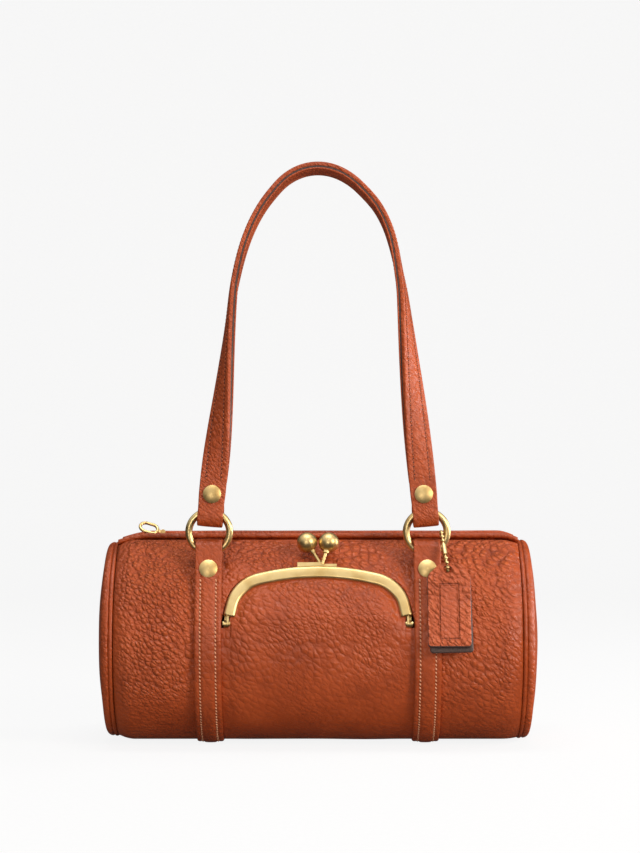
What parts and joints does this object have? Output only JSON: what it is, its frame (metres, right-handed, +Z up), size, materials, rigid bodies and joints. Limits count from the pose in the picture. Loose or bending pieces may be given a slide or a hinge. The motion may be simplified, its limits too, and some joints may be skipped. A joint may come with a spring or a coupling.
{
  "type": "barrel bag",
  "caption": "Barrel-shaped leather shoulder bag with a zip top, a strap on rings, riveted bands, a kiss-lock front pocket and a hang tag.",
  "frame": {"origin": "on the surface the bag stands on, under the middle of the barrel", "axes": "+X along the barrel to the right as seen from the front, +Y to the back, +Z up"},
  "size_m": [0.2608, 0.1346, 0.3447],
  "materials": {
    "pebbled_leather": "pebbled, soft sheen",
    "smooth_leather": "fine grain, soft sheen",
    "edge_painted_leather": "matte painted edge",
    "brass": "brushed and lightly aged",
    "zip_tape": "woven tape",
    "lining": "twill",
    "board": "plain"
  },
  "bodies": {
    "bag": {"body_panel": "pebbled_leather", "left_end_panel": "pebbled_leather", "right_end_panel": "pebbled_leather", "left_piping": "smooth_leather", "right_piping": "smooth_leather", "front_zip_facing": "smooth_leather", "back_zip_facing": "smooth_leather", "front_zip_tape": "zip_tape", "back_zip_tape": "zip_tape", "front_zip_teeth": "brass", "back_zip_teeth": "brass", "zip_stops": "brass", "left_band": "smooth_leather", "right_band": "smooth_leather", "left_band_rivet": "brass", "right_band_rivet": "brass", "back_frame": "brass", "left_hinge_pin": "brass", "right_hinge_pin": "brass", "back_clasp_post": "brass", "back_clasp_ball": "brass", "pocket_crease": "pebbled_leather", "pocket_pouch": "lining", "body_lining": "lining", "left_end_lining": "lining", "right_end_lining": "lining", "base_board": "board"},
    "front_frame": {"front_frame": "brass", "front_clasp_post": "brass", "front_clasp_ball": "brass", "pocket_flap": "pebbled_leather"},
    "zip_slider": {"zip_slider": "brass"},
    "zip_pull": {"zip_pull": "brass"},
    "left_ring": {"left_ring": "brass"},
    "right_ring": {"right_ring": "brass"},
    "strap": {"strap": "smooth_leather", "strap_backing": "edge_painted_leather", "left_strap_rivet": "brass", "right_strap_rivet": "brass"},
    "tag_chain": {"tag_chain": "brass", "tag_connector": "brass"},
    "hang_tag": {"tag_front_leaf": "pebbled_leather", "tag_back_leaf": "pebbled_leather"}
  },
  "joints": [
    {"name": "frame_hinge", "type": "hinge", "parent": "bag", "child": "front_frame", "pos_m": [0, -0.0589, 0.074], "axis": [1, 0, 0], "range_deg": [0, 55], "deforming": ["pocket_crease"]},
    {"name": "zip_run", "type": "slide", "parent": "bag", "child": "zip_slider", "axis": [1, 0, 0], "range_m": [0, 0.186], "deforming": ["front_zip_teeth", "back_zip_teeth"]},
    {"name": "pull_hinge", "type": "hinge", "parent": "zip_slider", "child": "zip_pull", "pos_m": [-0.093, 0, 0.12422], "axis": [0, 1, 0], "range_deg": [0, 110]},
    {"name": "left_ring_swing", "type": "hinge", "parent": "bag", "child": "left_ring", "pos_m": [-0.0633, -0.041, 0.11603], "axis": [1, 0, 0], "range_deg": [-15, 30]},
    {"name": "right_ring_swing", "type": "hinge", "parent": "bag", "child": "right_ring", "pos_m": [0.0633, -0.041, 0.11603], "axis": [1, 0, 0], "range_deg": [-15, 30]},
    {"name": "strap_swing", "type": "hinge", "parent": "left_ring", "child": "strap", "pos_m": [0, -0.041, 0.13535], "axis": [1, 0, 0], "range_deg": [-60, 60]},
    {"name": "chain_lift", "type": "hinge", "parent": "bag", "child": "tag_chain", "pos_m": [0.07268, -0.0424, 0.11906], "axis": [-1, 0, 0], "range_deg": [0, 20]},
    {"name": "tag_sway", "type": "hinge", "parent": "tag_chain", "child": "hang_tag", "pos_m": [0.0747, -0.05576, 0.1047], "axis": [0, -0.9563, 0.2924], "range_deg": [-8, 25]}
  ],
  "couplings": [
    {"joint": "right_ring_swing", "follows": "left_ring_swing", "ratio": 1}
  ]
}
